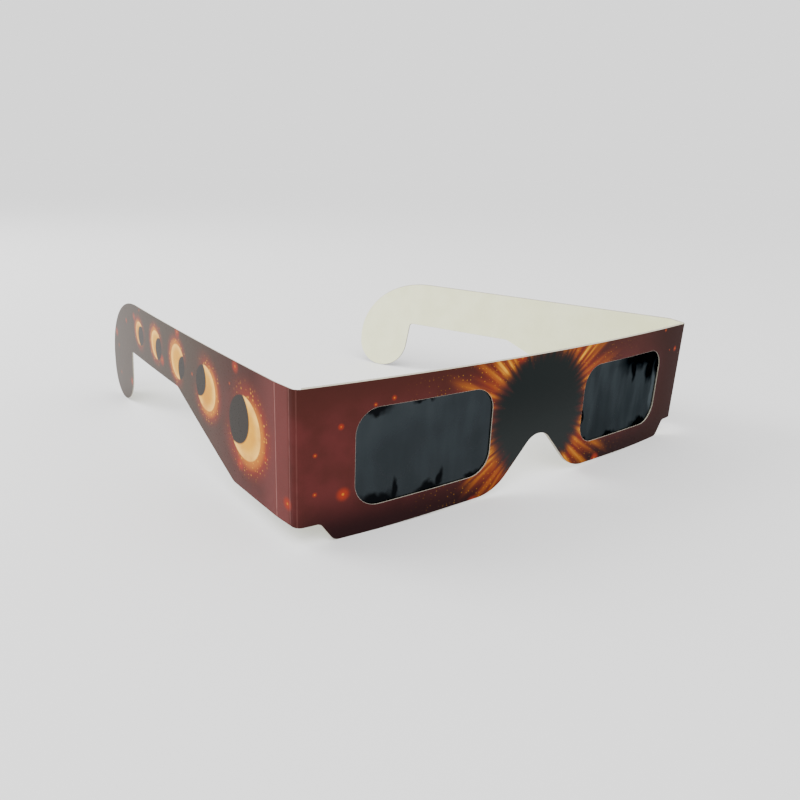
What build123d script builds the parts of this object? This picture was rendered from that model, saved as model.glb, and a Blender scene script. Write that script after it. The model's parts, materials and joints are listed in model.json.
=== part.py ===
from build123d import *
from math import asin, atan2, cos, degrees, hypot, radians, sin
import os

# Folding card glasses for watching the sun.
# Millimetres. The wearer looks along -Y, so the wearer's right is at -X. +Z is up.
# The origin is the middle of the nose notch, halfway through the front card.

# Sheet materials
card_thickness = 0.45
film_thickness = 0.1
fold_gap = 0.08          # left open beside each scored fold, so that it can turn
overrun = 3.0            # how far cutting shapes pass the surfaces they cut

# Front panel, seen square on; heights are measured down from its top edge
front_width = 148.0      # between the two outer folds, straight across
front_bow = 4.5          # how far the middle stands in front of the folds
fold_height = 33.5       # height of the card at the folds
lobe_depth = 38.6        # lowest edge, under each window
inner_depth = 37.65      # where the lower edge would meet the nose notch, unrounded
bridge_depth = 23.3      # card left above the nose
tab_width = 5.7          # level edge between the outer fold and the shoulder
shoulder_width = 3.5     # slanting edge from the tab down to the lobe
tab_round = 1.6
lobe_round = 2.6
rest_width = 12.0        # level part of the lobe, which stands on the table
nose_reach = 15.8        # from the middle to where a side of the notch would end
nose_top_round = 6.0
nose_foot_round = 14.0

# Windows in the front panel
window_inner = 18.6         # from the middle of the panel to the nearer side
window_side_margin = 14.5   # card between a window and the outer fold
window_top_margin = 6.65    # card above a window
window_inner_margin = 6.75  # card below a window, beside the nose notch
window_lobe_margin = 6.8    # card below a window, above the lobe
window_round = 6.4

# Films and inner panel
film_margin = 3.0        # film hidden behind the card all round a window
film_round = 1.0
film_pocket_gap = 0.15   # between the edge of a film and the glue around it
rear_window_relief = 0.5 # the inner panel's windows are this much larger each way
rear_setback = 1.7       # the inner panel ends this far short of the outer fold

# Narrow strip between the two folds of each side
strip_width = 7.8

# Temples; lengths are measured back from the outer fold along the blank
temple_length = 139.1
temple_neck_start = 30.9 # where the lower edge starts to rise
temple_neck_end = 68.1   # where the lower edge is level again
temple_bar_height = 17.65
neck_start_round = 5.0
neck_end_round = 3.0
hook_width = 25.7        # from the back edge to the inside corner of the ear hook
hook_toe_setback = 3.9   # how much nearer the back edge the hook's inner side ends
hook_corner_round = 1.4
hook_toe_round_share = 0.64   # front corner of the toe, against the toe's width
hook_back_round_share = 0.43  # back corner of the toe
hook_back_flat = 1.2     # straight part of the back edge, above that corner
crown_length = 34.0      # rounded upper corner of the hook, along the temple

# How the sides stand at rest: degrees outward from straight back, and the radius
# of each temple's slight inward curl
right_strip_angle = 6.7
left_strip_angle = 18.7
right_temple_angle = 2.4
left_temple_angle = -20.6
right_curl_radius = 2000.0
left_curl_radius = 6800.0
quarter_angle = 90.0

# Worked out from the sizes above
top = bridge_depth
half_width = front_width / 2
bow_radius = (half_width**2 + front_bow**2) / (2 * front_bow)
bow_half_angle = degrees(asin(half_width / bow_radius))
bow_half_arc = radians(bow_half_angle) * bow_radius
fold_setback = card_thickness / 2 + fold_gap
film_radius = bow_radius - (card_thickness + film_thickness) / 2
rear_radius = film_radius - (card_thickness + film_thickness) / 2
window_outer = half_width - window_side_margin
nose_drop = inner_depth - bridge_depth - nose_top_round
nose_flank_angle = degrees(
    atan2(nose_drop, nose_reach) + asin(nose_top_round / hypot(nose_drop, nose_reach))
)
nose_peak_depth = bridge_depth - nose_top_round * (1 / cos(radians(nose_flank_angle)) - 1)
hook_toe_width = hook_width - hook_toe_setback
hook_toe_round = hook_toe_width * hook_toe_round_share
hook_back_round = hook_toe_width * hook_back_round_share
crown_height = lobe_depth - hook_back_round - hook_back_flat
signs = {"right": -1, "left": 1}
strip_angles = {"right": right_strip_angle, "left": left_strip_angle}
temple_angles = {"right": right_temple_angle, "left": left_temple_angle}
curl_radii = {"right": right_curl_radius, "left": left_curl_radius}
os.makedirs("parts", exist_ok=True)


def lean_direction(side, lean):
    """Unit vector pointing back from the panel, leaning outward on its own side."""
    return Vector(signs[side] * sin(radians(lean)), cos(radians(lean)), 0)


def outer_fold(side):
    """Foot of the fold between the front panel and the strip."""
    return Vector(signs[side] * half_width, front_bow, 0)


def inner_fold(side):
    """Foot of the fold between the strip and the temple."""
    return outer_fold(side) + lean_direction(side, strip_angles[side]) * strip_width


def ring_sector(centre_y, radius, thickness, start_angle, arc_size):
    """Plan of a sheet that curves about a centre on the sketch's own Y axis."""
    with BuildLine() as plan:
        far = CenterArc((0, centre_y), radius + thickness / 2, start_angle, arc_size)
        near = CenterArc((0, centre_y), radius - thickness / 2, start_angle, arc_size)
        Line(far @ 0, near @ 0)
        Line(far @ 1, near @ 1)
    make_face(plan.edges())


def bowed_layer(radius, thickness, half_arc):
    """Keep only the part of the solid under construction that lies in one layer."""
    half_angle = degrees(half_arc / bow_radius)
    with BuildSketch(Plane.XY.offset(top + overrun)) as plan:
        ring_sector(bow_radius, radius, thickness, -quarter_angle - half_angle, 2 * half_angle)
    extrude(plan.sketch, amount=-(lobe_depth + 2 * overrun), mode=Mode.INTERSECT)


def panel_outline():
    """Outline of the front panel, with its lobes and the bell-shaped nose notch."""
    side_x = half_width + overrun
    tab_x = half_width - tab_width
    lobe_x = tab_x - shoulder_width
    half = [
        ((side_x, 0), 0),
        ((side_x, fold_height), 0),
        ((tab_x, fold_height), tab_round),
        ((lobe_x, lobe_depth), lobe_round),
        ((lobe_x - rest_width, lobe_depth), 0),
        ((nose_reach, inner_depth), nose_foot_round),
    ]
    right_half = [((x, top - depth), r) for (x, depth), r in half]
    left_half = [((-x, z), r) for (x, z), r in reversed(right_half)]
    corners = right_half + [((0, top - nose_peak_depth), nose_top_round)] + left_half
    with BuildLine() as outline:
        FilletPolyline(*[p for p, r in corners], radius=[r for p, r in corners], close=True)
    make_face(outline.edges())


def window_opening(sign, growth, corner, mode):
    """One window outline, grown by the same amount on every side."""
    inner_x = sign * (window_inner - growth)
    outer_x = sign * (window_outer + growth)
    corners = [
        (inner_x, top - window_top_margin + growth),
        (outer_x, top - window_top_margin + growth),
        (outer_x, top - lobe_depth + window_lobe_margin - growth),
        (inner_x, top - inner_depth + window_inner_margin - growth),
    ]
    with BuildLine() as outline:
        FilletPolyline(*corners, radius=corner, close=True)
    make_face(outline.edges(), mode=mode)


# Front card: the printed outer face of the panel
with BuildPart() as front_card:
    with BuildSketch(Plane.XZ):
        panel_outline()
        for side_sign in signs.values():
            window_opening(side_sign, 0, window_round, Mode.SUBTRACT)
    extrude(amount=front_bow + 2 * overrun, both=True)
    bowed_layer(bow_radius, card_thickness, bow_half_arc - fold_setback)
front_card.part.label = "front_card"

# Rear card: the plain inner panel, die cut to the same outline
with BuildPart() as rear_card:
    with BuildSketch(Plane.XZ):
        panel_outline()
        for side_sign in signs.values():
            window_opening(
                side_sign, rear_window_relief, window_round + rear_window_relief, Mode.SUBTRACT
            )
    extrude(amount=front_bow + 2 * overrun, both=True)
    bowed_layer(rear_radius, card_thickness, bow_half_arc - rear_setback)
rear_card.part.label = "rear_card"

# Glue layer: fills the space between the cards around both films
with BuildPart() as glue_layer:
    with BuildSketch(Plane.XZ):
        panel_outline()
        for side_sign in signs.values():
            window_opening(side_sign, film_margin + film_pocket_gap, film_round, Mode.SUBTRACT)
    extrude(amount=front_bow + 2 * overrun, both=True)
    bowed_layer(film_radius, film_thickness, bow_half_arc - rear_setback)
glue_layer.part.label = "glue_layer"

# Solar filter films, one behind each window, held between the two cards
films = {}
for side, side_sign in signs.items():
    with BuildPart() as film:
        with BuildSketch(Plane.XZ):
            window_opening(side_sign, film_margin, film_round, Mode.ADD)
        extrude(amount=front_bow + 2 * overrun, both=True)
        bowed_layer(film_radius, film_thickness, bow_half_arc)
    film.part.label = f"{side}_filter_film"
    films[side] = film.part

# Fold strips: each has a round bead along both folds, on the fold's own axis
strips = {}
for side in signs:
    along = lean_direction(side, strip_angles[side])
    middle = outer_fold(side) + along * (strip_width / 2) + Vector(0, 0, top - fold_height)
    with BuildPart() as strip:
        with BuildSketch(Plane(origin=middle, x_dir=along, z_dir=(0, 0, 1))):
            SlotCenterToCenter(strip_width, card_thickness)
        extrude(amount=fold_height)
    strip.part.label = f"{side}_hinge_strip"
    strips[side] = strip.part


def temple_outline():
    """Side view of a temple from the inner fold back to the ear hook."""
    back = temple_length - strip_width
    crown_x = back - crown_length
    crown_z = top - crown_height
    tip_z = top - lobe_depth
    with BuildLine() as outline:
        Line((-overrun, top), (crown_x, top))
        EllipticalCenterArc(
            (crown_x, crown_z), crown_length, crown_height, quarter_angle, arc_size=-quarter_angle
        )
        FilletPolyline(
            (back, crown_z),
            (back, tip_z),
            (back - hook_toe_width, tip_z),
            (back - hook_width, top - temple_bar_height),
            (temple_neck_end - strip_width, top - temple_bar_height),
            (temple_neck_start - strip_width, top - fold_height),
            (-overrun, top - fold_height),
            radius=[
                hook_back_round,
                hook_toe_round,
                hook_corner_round,
                neck_end_round,
                neck_start_round,
            ],
        )
        Line((-overrun, top - fold_height), (-overrun, top))
    make_face(outline.edges())


# Temples: flat side outline, kept within a gently curled sheet
temples = {}
for side, side_sign in signs.items():
    along = lean_direction(side, temple_angles[side])
    curl = curl_radii[side]
    start_angle = degrees(fold_setback / curl)
    sweep_angle = degrees((temple_length + overrun) / curl) - start_angle
    elevation = Plane(origin=inner_fold(side), x_dir=along, z_dir=along.cross(Vector(0, 0, 1)))
    plan = Plane(origin=inner_fold(side), x_dir=along, z_dir=(0, 0, 1))
    with BuildPart() as temple:
        with BuildSketch(elevation):
            temple_outline()
        extrude(amount=front_bow + 2 * overrun, both=True)
        with BuildSketch(plan.offset(top + overrun)):
            ring_sector(
                side_sign * curl,
                curl,
                card_thickness,
                side_sign * (start_angle - quarter_angle),
                side_sign * sweep_angle,
            )
        extrude(amount=-(lobe_depth + 2 * overrun), mode=Mode.INTERSECT)
    temple.part.label = f"{side}_temple"
    temples[side] = temple.part

pieces = [front_card.part, rear_card.part, glue_layer.part]
pieces += [*films.values(), *strips.values(), *temples.values()]
for piece in pieces:
    export_step(piece, f"parts/{piece.label}.step")
    print(piece.label, len(piece.solids()), round(piece.volume, 1))

for side in signs:
    for name, fold in (("outer", outer_fold(side)), ("inner", inner_fold(side))):
        print(side, name, "fold", round(fold.X, 4), round(fold.Y, 4))
print("bow radius", round(bow_radius, 3), "end angle", round(bow_half_angle, 3))
print("nose flank", round(nose_flank_angle, 3), "peak depth", round(nose_peak_depth, 3))
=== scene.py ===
# %% [markdown]
# Folding card glasses for watching the sun. The real thing is one strip of printed card,
# die cut flat and folded at four scores, with a second plain card glued behind the front
# and a dark film behind each window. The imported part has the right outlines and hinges,
# but a solid has no print, and it turns at a hinge where real card bends. So this script
# gives each sheet a real card surface: print outside, bare board inside, a pale cut edge,
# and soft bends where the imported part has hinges.

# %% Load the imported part
import json
import math

import bpy
from mathutils import Matrix, Vector
from mathutils import noise as mesh_noise


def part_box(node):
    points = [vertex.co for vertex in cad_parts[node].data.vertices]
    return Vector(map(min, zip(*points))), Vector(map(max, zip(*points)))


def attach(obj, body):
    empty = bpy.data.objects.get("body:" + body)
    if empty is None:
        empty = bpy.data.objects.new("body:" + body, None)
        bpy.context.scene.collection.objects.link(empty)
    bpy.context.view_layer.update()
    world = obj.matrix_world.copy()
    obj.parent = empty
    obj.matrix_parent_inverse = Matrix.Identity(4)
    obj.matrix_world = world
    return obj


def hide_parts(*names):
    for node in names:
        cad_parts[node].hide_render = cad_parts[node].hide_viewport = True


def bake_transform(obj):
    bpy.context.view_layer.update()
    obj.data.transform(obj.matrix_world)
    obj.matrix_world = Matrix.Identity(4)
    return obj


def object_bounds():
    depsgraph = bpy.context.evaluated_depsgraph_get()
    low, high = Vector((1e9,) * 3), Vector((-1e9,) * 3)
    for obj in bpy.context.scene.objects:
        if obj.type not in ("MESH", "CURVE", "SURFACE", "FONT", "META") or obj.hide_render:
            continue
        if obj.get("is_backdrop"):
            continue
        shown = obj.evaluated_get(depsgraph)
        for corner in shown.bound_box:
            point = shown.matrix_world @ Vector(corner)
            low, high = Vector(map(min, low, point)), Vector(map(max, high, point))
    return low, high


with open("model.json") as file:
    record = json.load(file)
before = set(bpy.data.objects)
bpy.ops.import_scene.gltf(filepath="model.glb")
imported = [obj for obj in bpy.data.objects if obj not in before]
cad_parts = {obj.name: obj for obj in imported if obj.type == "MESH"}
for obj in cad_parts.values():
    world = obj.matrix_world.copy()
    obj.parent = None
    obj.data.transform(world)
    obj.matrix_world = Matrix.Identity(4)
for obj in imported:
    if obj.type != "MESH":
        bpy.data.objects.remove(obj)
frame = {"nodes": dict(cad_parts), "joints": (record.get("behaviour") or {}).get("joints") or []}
cad_low, cad_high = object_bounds()
print("packed part from", tuple(cad_low), "to", tuple(cad_high))

# %% [markdown]
# Thin card has a look of its own: how thick it is, how far a bend spreads in it, how deep
# a score is pressed, and how far the die rolls a cut edge back. These sizes could be typed
# where they are used. Kept together under plain names, each can be changed in one place.

# %% Sizes of the card, in metres
MM = 0.001
signs = {"right": -1, "left": 1}   # the wearer's right side lies towards -X
card_thickness = 0.45 * MM
film_thickness = 0.10 * MM
outer_bend_reach = 2.0 * MM        # how far a soft bend spreads to each side of its fold
inner_bend_reach = 0.6 * MM
score_gap = 2.3 * MM               # the outer hinge has a second score this far behind the fold
score_depth = 0.04 * MM
score_width = 0.20 * MM
edge_border = 0.13 * MM            # width of the border along a cut edge
edge_roll = 0.05 * MM              # how far the die rolls that border back
blank_span = 450 * MM              # the flat blank fits in a square of this side
smooth_angle = math.radians(14)    # an edge sharper than this stays crisp
print("card", round(card_thickness / MM, 2), "mm thick, film", round(film_thickness / MM, 2), "mm")

# %% [markdown]
# The blank is easiest to understand flat. A place on it has two numbers: its run, which is
# how far along the blank it is from the middle of the nose, and its height. The bow of the
# front could be traced from the solid's mesh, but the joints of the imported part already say
# where the folds are. The bow is the circle through the nose and both outer folds.

# %% Where the folds are, and the bow of the front
joints = {joint["name"]: joint for joint in frame["joints"]}


def fold_foot(side, which):
    """Place of a fold in plan, with the right side mirrored on to the left."""
    place = joints[f"{side}_{which}_fold"]["pos_m"]
    return Vector((signs[side] * place[0], place[1]))


half_width, front_bow = fold_foot("left", "outer")
bow_radius = (half_width**2 + front_bow**2) / (2 * front_bow)
bow_end = math.asin(half_width / bow_radius)
outer_fold_run = bow_radius * bow_end
panel_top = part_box("left_hinge_strip")[1].z
strip_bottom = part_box("left_hinge_strip")[0].z
print("bow radius", round(bow_radius / MM, 1), "mm, half blank to the fold",
      round(outer_fold_run / MM, 2), "mm")

# %% [markdown]
# A scored fold in thick card isn't a sharp corner. The card turns over a few millimetres,
# slowly at first, fastest in the middle. A round bevel would turn at one even rate, and
# its two ends would show as lines in the gloss. So the heading of the card follows a smooth
# step through the bend, and the run is scaled to start and end on the two flat sheets.

# %% A soft bend in plan
BEND_STEPS = 64


def smooth_step(share):
    """From 0 to 1, slowly at both ends and fastest in the middle."""
    return share * share * (3 - 2 * share)


def direction(heading):
    """A step of length 1 in plan, along a heading."""
    return Vector((math.cos(heading), math.sin(heading)))


def bend_route(corner, heading_in, heading_out, reach):
    """Plan points and headings of a soft bend, from one flat sheet to the next."""
    turn = heading_out - heading_in
    headings = [heading_in + turn * smooth_step(step / BEND_STEPS)
                for step in range(BEND_STEPS + 1)]
    run = [Vector((0, 0))]
    for first, second in zip(headings, headings[1:]):
        run.append(run[-1] + direction((first + second) / 2))
    scale = 2 * reach * math.cos(turn / 2) / run[-1].length
    start = corner - direction(heading_in) * reach
    return [start + point * scale for point in run], headings


print("a soft bend turns in", BEND_STEPS, "small steps")

# %% [markdown]
# On its way back from the nose the card is a bowed front, a soft bend, a narrow strip,
# another bend, and a temple that curls in a little. The two temples don't stand alike, so
# a mirrored copy of one wouldn't do, and each side gets a route of its own. Both are worked
# out the left side's way round, with X outwards and Y to the back.

# %% The route of the card in plan
temple_angles = {"right": math.radians(2.4), "left": math.radians(-20.6)}   # turned outwards
curl_radii = {"right": 2000 * MM, "left": 6800 * MM}
routes = {}
for side in signs:
    outer, inner = fold_foot(side, "outer"), fold_foot(side, "inner")
    strip_run = (inner - outer).length
    strip_heading = math.atan2(inner.y - outer.y, inner.x - outer.x)
    temple_heading = math.pi / 2 - temple_angles[side]
    routes[side] = {
        "outer": outer, "inner": inner, "strip_heading": strip_heading,
        "temple_heading": temple_heading, "inner_fold_run": outer_fold_run + strip_run,
        "outer_bend": bend_route(outer, bow_end, strip_heading, outer_bend_reach),
        "inner_bend": bend_route(inner, strip_heading, temple_heading, inner_bend_reach),
    }
    print(side, "strip", round(strip_run / MM, 2), "mm, heading",
          round(math.degrees(strip_heading), 2))

# %% [markdown]
# A Simple Deform modifier bends a flat sheet round one axis at a time, which would take a
# stack of them for every piece. One function that turns any run along the blank into a
# place in plan does the whole route at once.

# %% A place along the route


def along_bend(bend, share):
    """Plan point and heading at a share of the way through a soft bend."""
    points, headings = bend
    place = min(max(share, 0), 1) * BEND_STEPS
    step = min(int(place), BEND_STEPS - 1)
    rest = place - step
    return points[step].lerp(points[step + 1], rest), (
        headings[step] * (1 - rest) + headings[step + 1] * rest)


def route_place(side, run):
    """Plan point and heading of the middle of the card, a run away from the nose."""
    route = routes[side]
    curl = curl_radii[side]
    if run <= outer_fold_run - outer_bend_reach:
        turned = run / bow_radius
        return Vector((bow_radius * math.sin(turned),
                       bow_radius - bow_radius * math.cos(turned))), turned
    if run < outer_fold_run + outer_bend_reach:
        share = (run - outer_fold_run + outer_bend_reach) / (2 * outer_bend_reach)
        return along_bend(route["outer_bend"], share)
    past = run - route["inner_fold_run"]
    if past <= -inner_bend_reach:
        heading = route["strip_heading"]
        return route["outer"] + direction(heading) * (run - outer_fold_run), heading
    if past < inner_bend_reach:
        return along_bend(route["inner_bend"], (past + inner_bend_reach) / (2 * inner_bend_reach))
    turned = past / curl
    ahead = direction(route["temple_heading"])
    inward = Vector((-ahead.y, ahead.x))
    return (route["inner"] + ahead * curl * math.sin(turned)
            + inward * curl * (1 - math.cos(turned))), route["temple_heading"] + turned


temple_begins = routes["left"]["inner_fold_run"] + inner_bend_reach
print("from the nose to the left temple the card turns",
      round(math.degrees(route_place("left", temple_begins)[1]), 1), "degrees")

# %% [markdown]
# In plan the card is a line, but it has a thickness, and its two faces lie to each side of
# that line. Folding the line and then the faces would be double work. So a depth is added
# at right angles to the heading. The sheets, the bends and the films are all folded by this
# one function, so they meet exactly.

# %% A place on the folded card


def folded_place(run, height, depth):
    """Where a point of the flat blank lies once the card is folded.

    run is negative on the right side. depth is how far outside the middle of the card."""
    side = "left" if run >= 0 else "right"
    point, heading = route_place(side, abs(run))
    outward = Vector((math.sin(heading), -math.cos(heading)))
    point = point + outward * depth
    return Vector((signs[side] * point.x, point.y, height))


print("the left outer bend passes", [round(value / MM, 2) for value in folded_place(
    outer_fold_run, 0, 0)], "mm")

# %% [markdown]
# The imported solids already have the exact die-cut outline, so each printed sheet starts as
# a copy of its solid, and not as a second drawing of the same shape. The solid is folded,
# but a cut, a border and a print are easiest on a flat sheet. So each point is laid flat
# first, by working out its run from its place on the bow or on the curl.

# %% Laying a point of a solid flat


def flat_front(point, radius):
    """Flat place of a point on a sheet that is bowed to a radius."""
    return Vector((bow_radius * math.asin(point.x / radius), 0, point.z))


def flat_temple(side, point):
    """Flat place of a point on the outer face of a temple."""
    route = routes[side]
    ahead = direction(route["temple_heading"])
    inward = Vector((-ahead.y, ahead.x))
    away = Vector((signs[side] * point.x, point.y)) - route["inner"]
    turned = math.atan2(away.dot(ahead), curl_radii[side] - away.dot(inward))
    run = route["inner_fold_run"] + curl_radii[side] * turned
    return Vector((signs[side] * run, 0, point.z))


print("the left temple begins", round(temple_begins / MM, 2), "mm along the blank")

# %% [markdown]
# A solid of card has two faces and a rim, and a sheet that is folded again needs just one
# face. Extracting it by hand would mean picking hundreds of triangles. Here the copy is
# merged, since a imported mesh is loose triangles, and faces are kept by the way they point.

# %% Copying the outer face of a solid
weld_distance = 0.002 * MM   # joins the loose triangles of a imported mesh
facing_share = 0.5           # how well the normal of a kept face agrees with its direction
bpy.context.tool_settings.mesh_select_mode = (False, False, True)   # edit mode picks faces


def select_only(piece):
    """Select one piece and nothing else, as an operator acts on all that is selected."""
    bpy.ops.object.select_all(action="DESELECT")
    piece.select_set(True)
    bpy.context.view_layer.objects.active = piece


def copy_of_node(node, name):
    """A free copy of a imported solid, merged into one connected mesh."""
    select_only(frame["nodes"][node])
    bpy.ops.object.duplicate()
    piece = bpy.context.object
    piece.name = piece.data.name = name
    piece.parent = None
    for key in list(piece.keys()):
        del piece[key]
    bpy.ops.object.mode_set(mode="EDIT")
    bpy.ops.mesh.select_all(action="SELECT")
    bpy.ops.mesh.customdata_custom_splitnormals_clear()
    bpy.ops.mesh.remove_doubles(threshold=weld_distance)
    bpy.ops.object.mode_set(mode="OBJECT")
    return piece


def keep_face(piece, outward):
    """Throw away all but the face of the card that looks outward."""
    for face in piece.data.polygons:
        face.select = face.normal.dot(outward) < facing_share
    for thing in list(piece.data.edges) + list(piece.data.vertices):
        thing.select = False
    bpy.ops.object.mode_set(mode="EDIT")
    bpy.ops.mesh.delete(type="FACE")
    bpy.ops.object.mode_set(mode="OBJECT")


print("solids in the packed part:", ", ".join(sorted(frame["nodes"])))

# %% [markdown]
# A fold or a curl bends card only between upright lines, so the flat sheet needs edges
# along upright lines. Subdividing its triangles would put points all over it, and they
# would show as dents in the gloss. Bisect cuts straight across the whole sheet instead,
# and it can throw away what lies past the end of a stretch.

# %% Cutting a flat sheet into upright columns
front_column = 2.4 * MM       # narrow, for the bow and its gloss
temple_column = 4 * MM        # the curl of a temple is weaker, so wider columns do
cut_tolerance = 0.0005 * MM   # a point this near to a cut counts as on it
sliver_width = 0.01 * MM      # points nearer than this are merged after the cuts


def cut_upright(piece, run, clear_low=False, clear_high=False):
    """Cut the flat sheet along an upright line, and throw one side away if asked."""
    bpy.ops.mesh.select_all(action="SELECT")
    bpy.ops.mesh.bisect(plane_co=(run, 0, 0), plane_no=(1, 0, 0), threshold=cut_tolerance,
                        clear_inner=clear_low, clear_outer=clear_high)


def cut_into_columns(piece, low, high, spacing):
    """Trim the flat sheet to a stretch of the blank, and divide it into columns."""
    select_only(piece)
    bpy.ops.object.mode_set(mode="EDIT")
    cut_upright(piece, low, clear_low=True)
    cut_upright(piece, high, clear_high=True)
    count = max(1, round((high - low) / spacing))
    for step in range(1, count):
        cut_upright(piece, low + (high - low) * step / count)
    bpy.ops.mesh.select_all(action="SELECT")
    bpy.ops.mesh.remove_doubles(threshold=sliver_width)
    bpy.ops.object.mode_set(mode="OBJECT")


print("columns are about", round(front_column / MM, 1), "mm wide on the front and",
      round(temple_column / MM, 1), "mm on the temples")

# %% [markdown]
# A die presses card as it cuts, so every cut edge is rolled back a little, and its ink is
# worn. A Bevel modifier would round the rim too, but it couldn't tell the print where the
# edge is. Here a narrow border is inset along the whole outline, and an attribute marks its
# outer points, which serves the roll of the mesh and the worn ink alike.

# %% A border along the cut edge


def mark_cut_edge(piece, is_cut):
    """Mark the points on a cut edge, for the worn print and the rolled edge."""
    mark = piece.data.attributes.new("cut_edge", "FLOAT", "POINT")
    for index, vertex in enumerate(piece.data.vertices):
        mark.data[index].value = 1.0 if is_cut(index, vertex.co) else 0.0


def border_outline(piece):
    """Add a narrow border inside the whole outline, and mark its outer points."""
    select_only(piece)
    bpy.ops.object.mode_set(mode="EDIT")
    bpy.ops.mesh.select_all(action="SELECT")
    bpy.ops.mesh.inset(thickness=edge_border, depth=0, use_boundary=True)
    bpy.ops.object.mode_set(mode="OBJECT")
    uses = {}
    for face in piece.data.polygons:
        for key in face.edge_keys:
            uses[key] = uses.get(key, 0) + 1
    outline = {index for key, count in uses.items() if count == 1 for index in key}
    mark_cut_edge(piece, lambda index, place: index in outline)


print("border", round(edge_border / MM, 2), "mm wide, rolled back", round(edge_roll / MM, 2), "mm")

# %% [markdown]
# Real blanks are printed flat, in one go. Unwrapping each piece by itself would give each
# a map of its own, and the print would break at every fold. So each sheet's UV map is
# simply its place on the flat blank, scaled to a square that the whole blank fits in.

# %% The map for the print


def map_print(piece):
    """Give the flat sheet its place on the flat blank as a UV map."""
    while piece.data.uv_layers:
        piece.data.uv_layers.remove(piece.data.uv_layers[0])
    blank_map = piece.data.uv_layers.new(name="blank")
    for loop in piece.data.loops:
        place = piece.data.vertices[loop.vertex_index].co
        blank_map.data[loop.index].uv = (0.5 + place.x / blank_span, 0.5 + place.z / blank_span)


print("the whole map is", round(blank_span / MM), "mm across")

# %% [markdown]
# With its border and its map made, a sheet is folded by moving each of its points. The
# scores are pressed in on the way, as narrow grooves that catch the light. Bump could fake
# them, but not where a fold is seen from its side. Last, Solidify gives the sheet its
# thickness, its inside and its cut edge, all of one even board.

# %% Folding a sheet, pressing its scores and giving it thickness
score_runs = (outer_fold_run, outer_fold_run + score_gap, routes["left"]["inner_fold_run"])


def pressed(run):
    """Share of the full score depth at a run: a narrow groove along each score."""
    return sum(math.exp(-((abs(run) - at) / score_width)**2) for at in score_runs)


def fold_sheet(piece, depth):
    """Fold the flat sheet, press in its scores, and roll its cut edges back a little."""
    mark = piece.data.attributes["cut_edge"].data
    for index, vertex in enumerate(piece.data.vertices):
        sunk = edge_roll * mark[index].value + score_depth * pressed(vertex.co.x)
        vertex.co = folded_place(vertex.co.x, vertex.co.z, depth - sunk)


def thicken(piece, thickness, inside=1, rim=2):
    """Give a sheet its thickness, with its inside and its rim so many material slots on."""
    solid = piece.modifiers.new("board", "SOLIDIFY")
    solid.thickness = thickness
    solid.offset = -1
    solid.material_offset = inside
    solid.material_offset_rim = rim
    select_only(piece)
    bpy.ops.object.modifier_apply(modifier=solid.name)
    bpy.ops.object.shade_smooth_by_angle(angle=smooth_angle)


print("scores at", [round(run / MM, 2) for run in score_runs], "mm from the nose")

# %% [markdown]
# Now the surface. The print is a made-up night-sky design in the colours of the real one. A
# dark middle over the nose throws out straight amber rays, the card around the windows is
# maroon with glowing dots, and a row of plain eclipse phases shrinks along each temple into
# a dark end. A picture of it would blur up close. Shader nodes stay sharp, and they work in
# millimetres on the flat blank, so the design runs over the folds without a break, as real
# print does. Inks come first: we name a colour as a screen shows it, but shaders reckon in
# linear light.

# %% Inks


def linear_light(value):
    """The linear light of a screen value from 0 to 255."""
    value /= 255
    return value / 12.92 if value <= 0.04045 else ((value + 0.055) / 1.055) ** 2.4


def ink(red, green, blue):
    """A colour given as screen values from 0 to 255."""
    return (linear_light(red), linear_light(green), linear_light(blue), 1)


print("a screen grey of 128 is", round(linear_light(128), 3), "in linear light")

# %% [markdown]
# A material is a tree of nodes. By hand, they are added from a menu and joined by dragging.
# In code the same steps repeat so often that a few helpers are worth having. The first adds
# a node, and the other two feed sockets with a link or a plain value.

# %% Helpers that add and feed nodes


def put(tree, kind, **settings):
    """Add a node of a kind to a tree, with its settings."""
    node = tree.nodes.new(kind)
    for name, value in settings.items():
        setattr(node, name, value)
    return node


def feed(tree, socket, value):
    """Plug a node's output, or a plain value, into a socket."""
    if isinstance(value, bpy.types.NodeSocket):
        tree.links.new(value, socket)
    else:
        socket.default_value = value


def feed_named(tree, node, **values):
    """Feed a node's sockets by name, with _ where a name has a space."""
    for name, value in values.items():
        feed(tree, node.inputs[name.replace("_", " ")], value)


print("made the helpers put, feed and feed_named")

# %% [markdown]
# Most of a pattern is sums on numbers that change over the surface. Each sum is a Math
# node. Written out, a node for every plus would bury the pattern, so the common ones get
# short names.

# %% Helpers that do sums


def calc(tree, operation, *values, clamp=False):
    """The result of a Math node on numbers or sockets."""
    node = put(tree, "ShaderNodeMath", operation=operation, use_clamp=clamp)
    for socket, value in zip(node.inputs, values):
        feed(tree, socket, value)
    return node.outputs[0]


def times(tree, first, *others):
    """The product of two or more numbers or sockets."""
    for value in others:
        first = calc(tree, "MULTIPLY", first, value)
    return first


def plus(tree, first, second):
    """The sum of two numbers or sockets."""
    return calc(tree, "ADD", first, second)


def minus(tree, first, second):
    """The first number or socket less the second."""
    return calc(tree, "SUBTRACT", first, second)


print("made the helpers calc, times, plus and minus")

# %% [markdown]
# Ink and wear have soft borders nearly everywhere. A Color Ramp can make one, but it hides
# its numbers in a strip of stops. A smooth Map Range says plainly where a change begins and
# where it ends, so that is what fades things in and out here.

# %% Helpers for soft borders, mixing and noise


def fade(tree, value, low, high, first=0, last=1):
    """Goes smoothly from first to last while the value goes from low to high."""
    node = put(tree, "ShaderNodeMapRange", interpolation_type="SMOOTHSTEP")
    for socket, number in zip(node.inputs, (value, low, high, first, last)):
        feed(tree, socket, number)
    return node.outputs[0]


def fall(tree, value, low, high):
    """Falls smoothly from 1 to 0 while the value goes from low to high."""
    return fade(tree, value, low, high, first=1, last=0)


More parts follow.
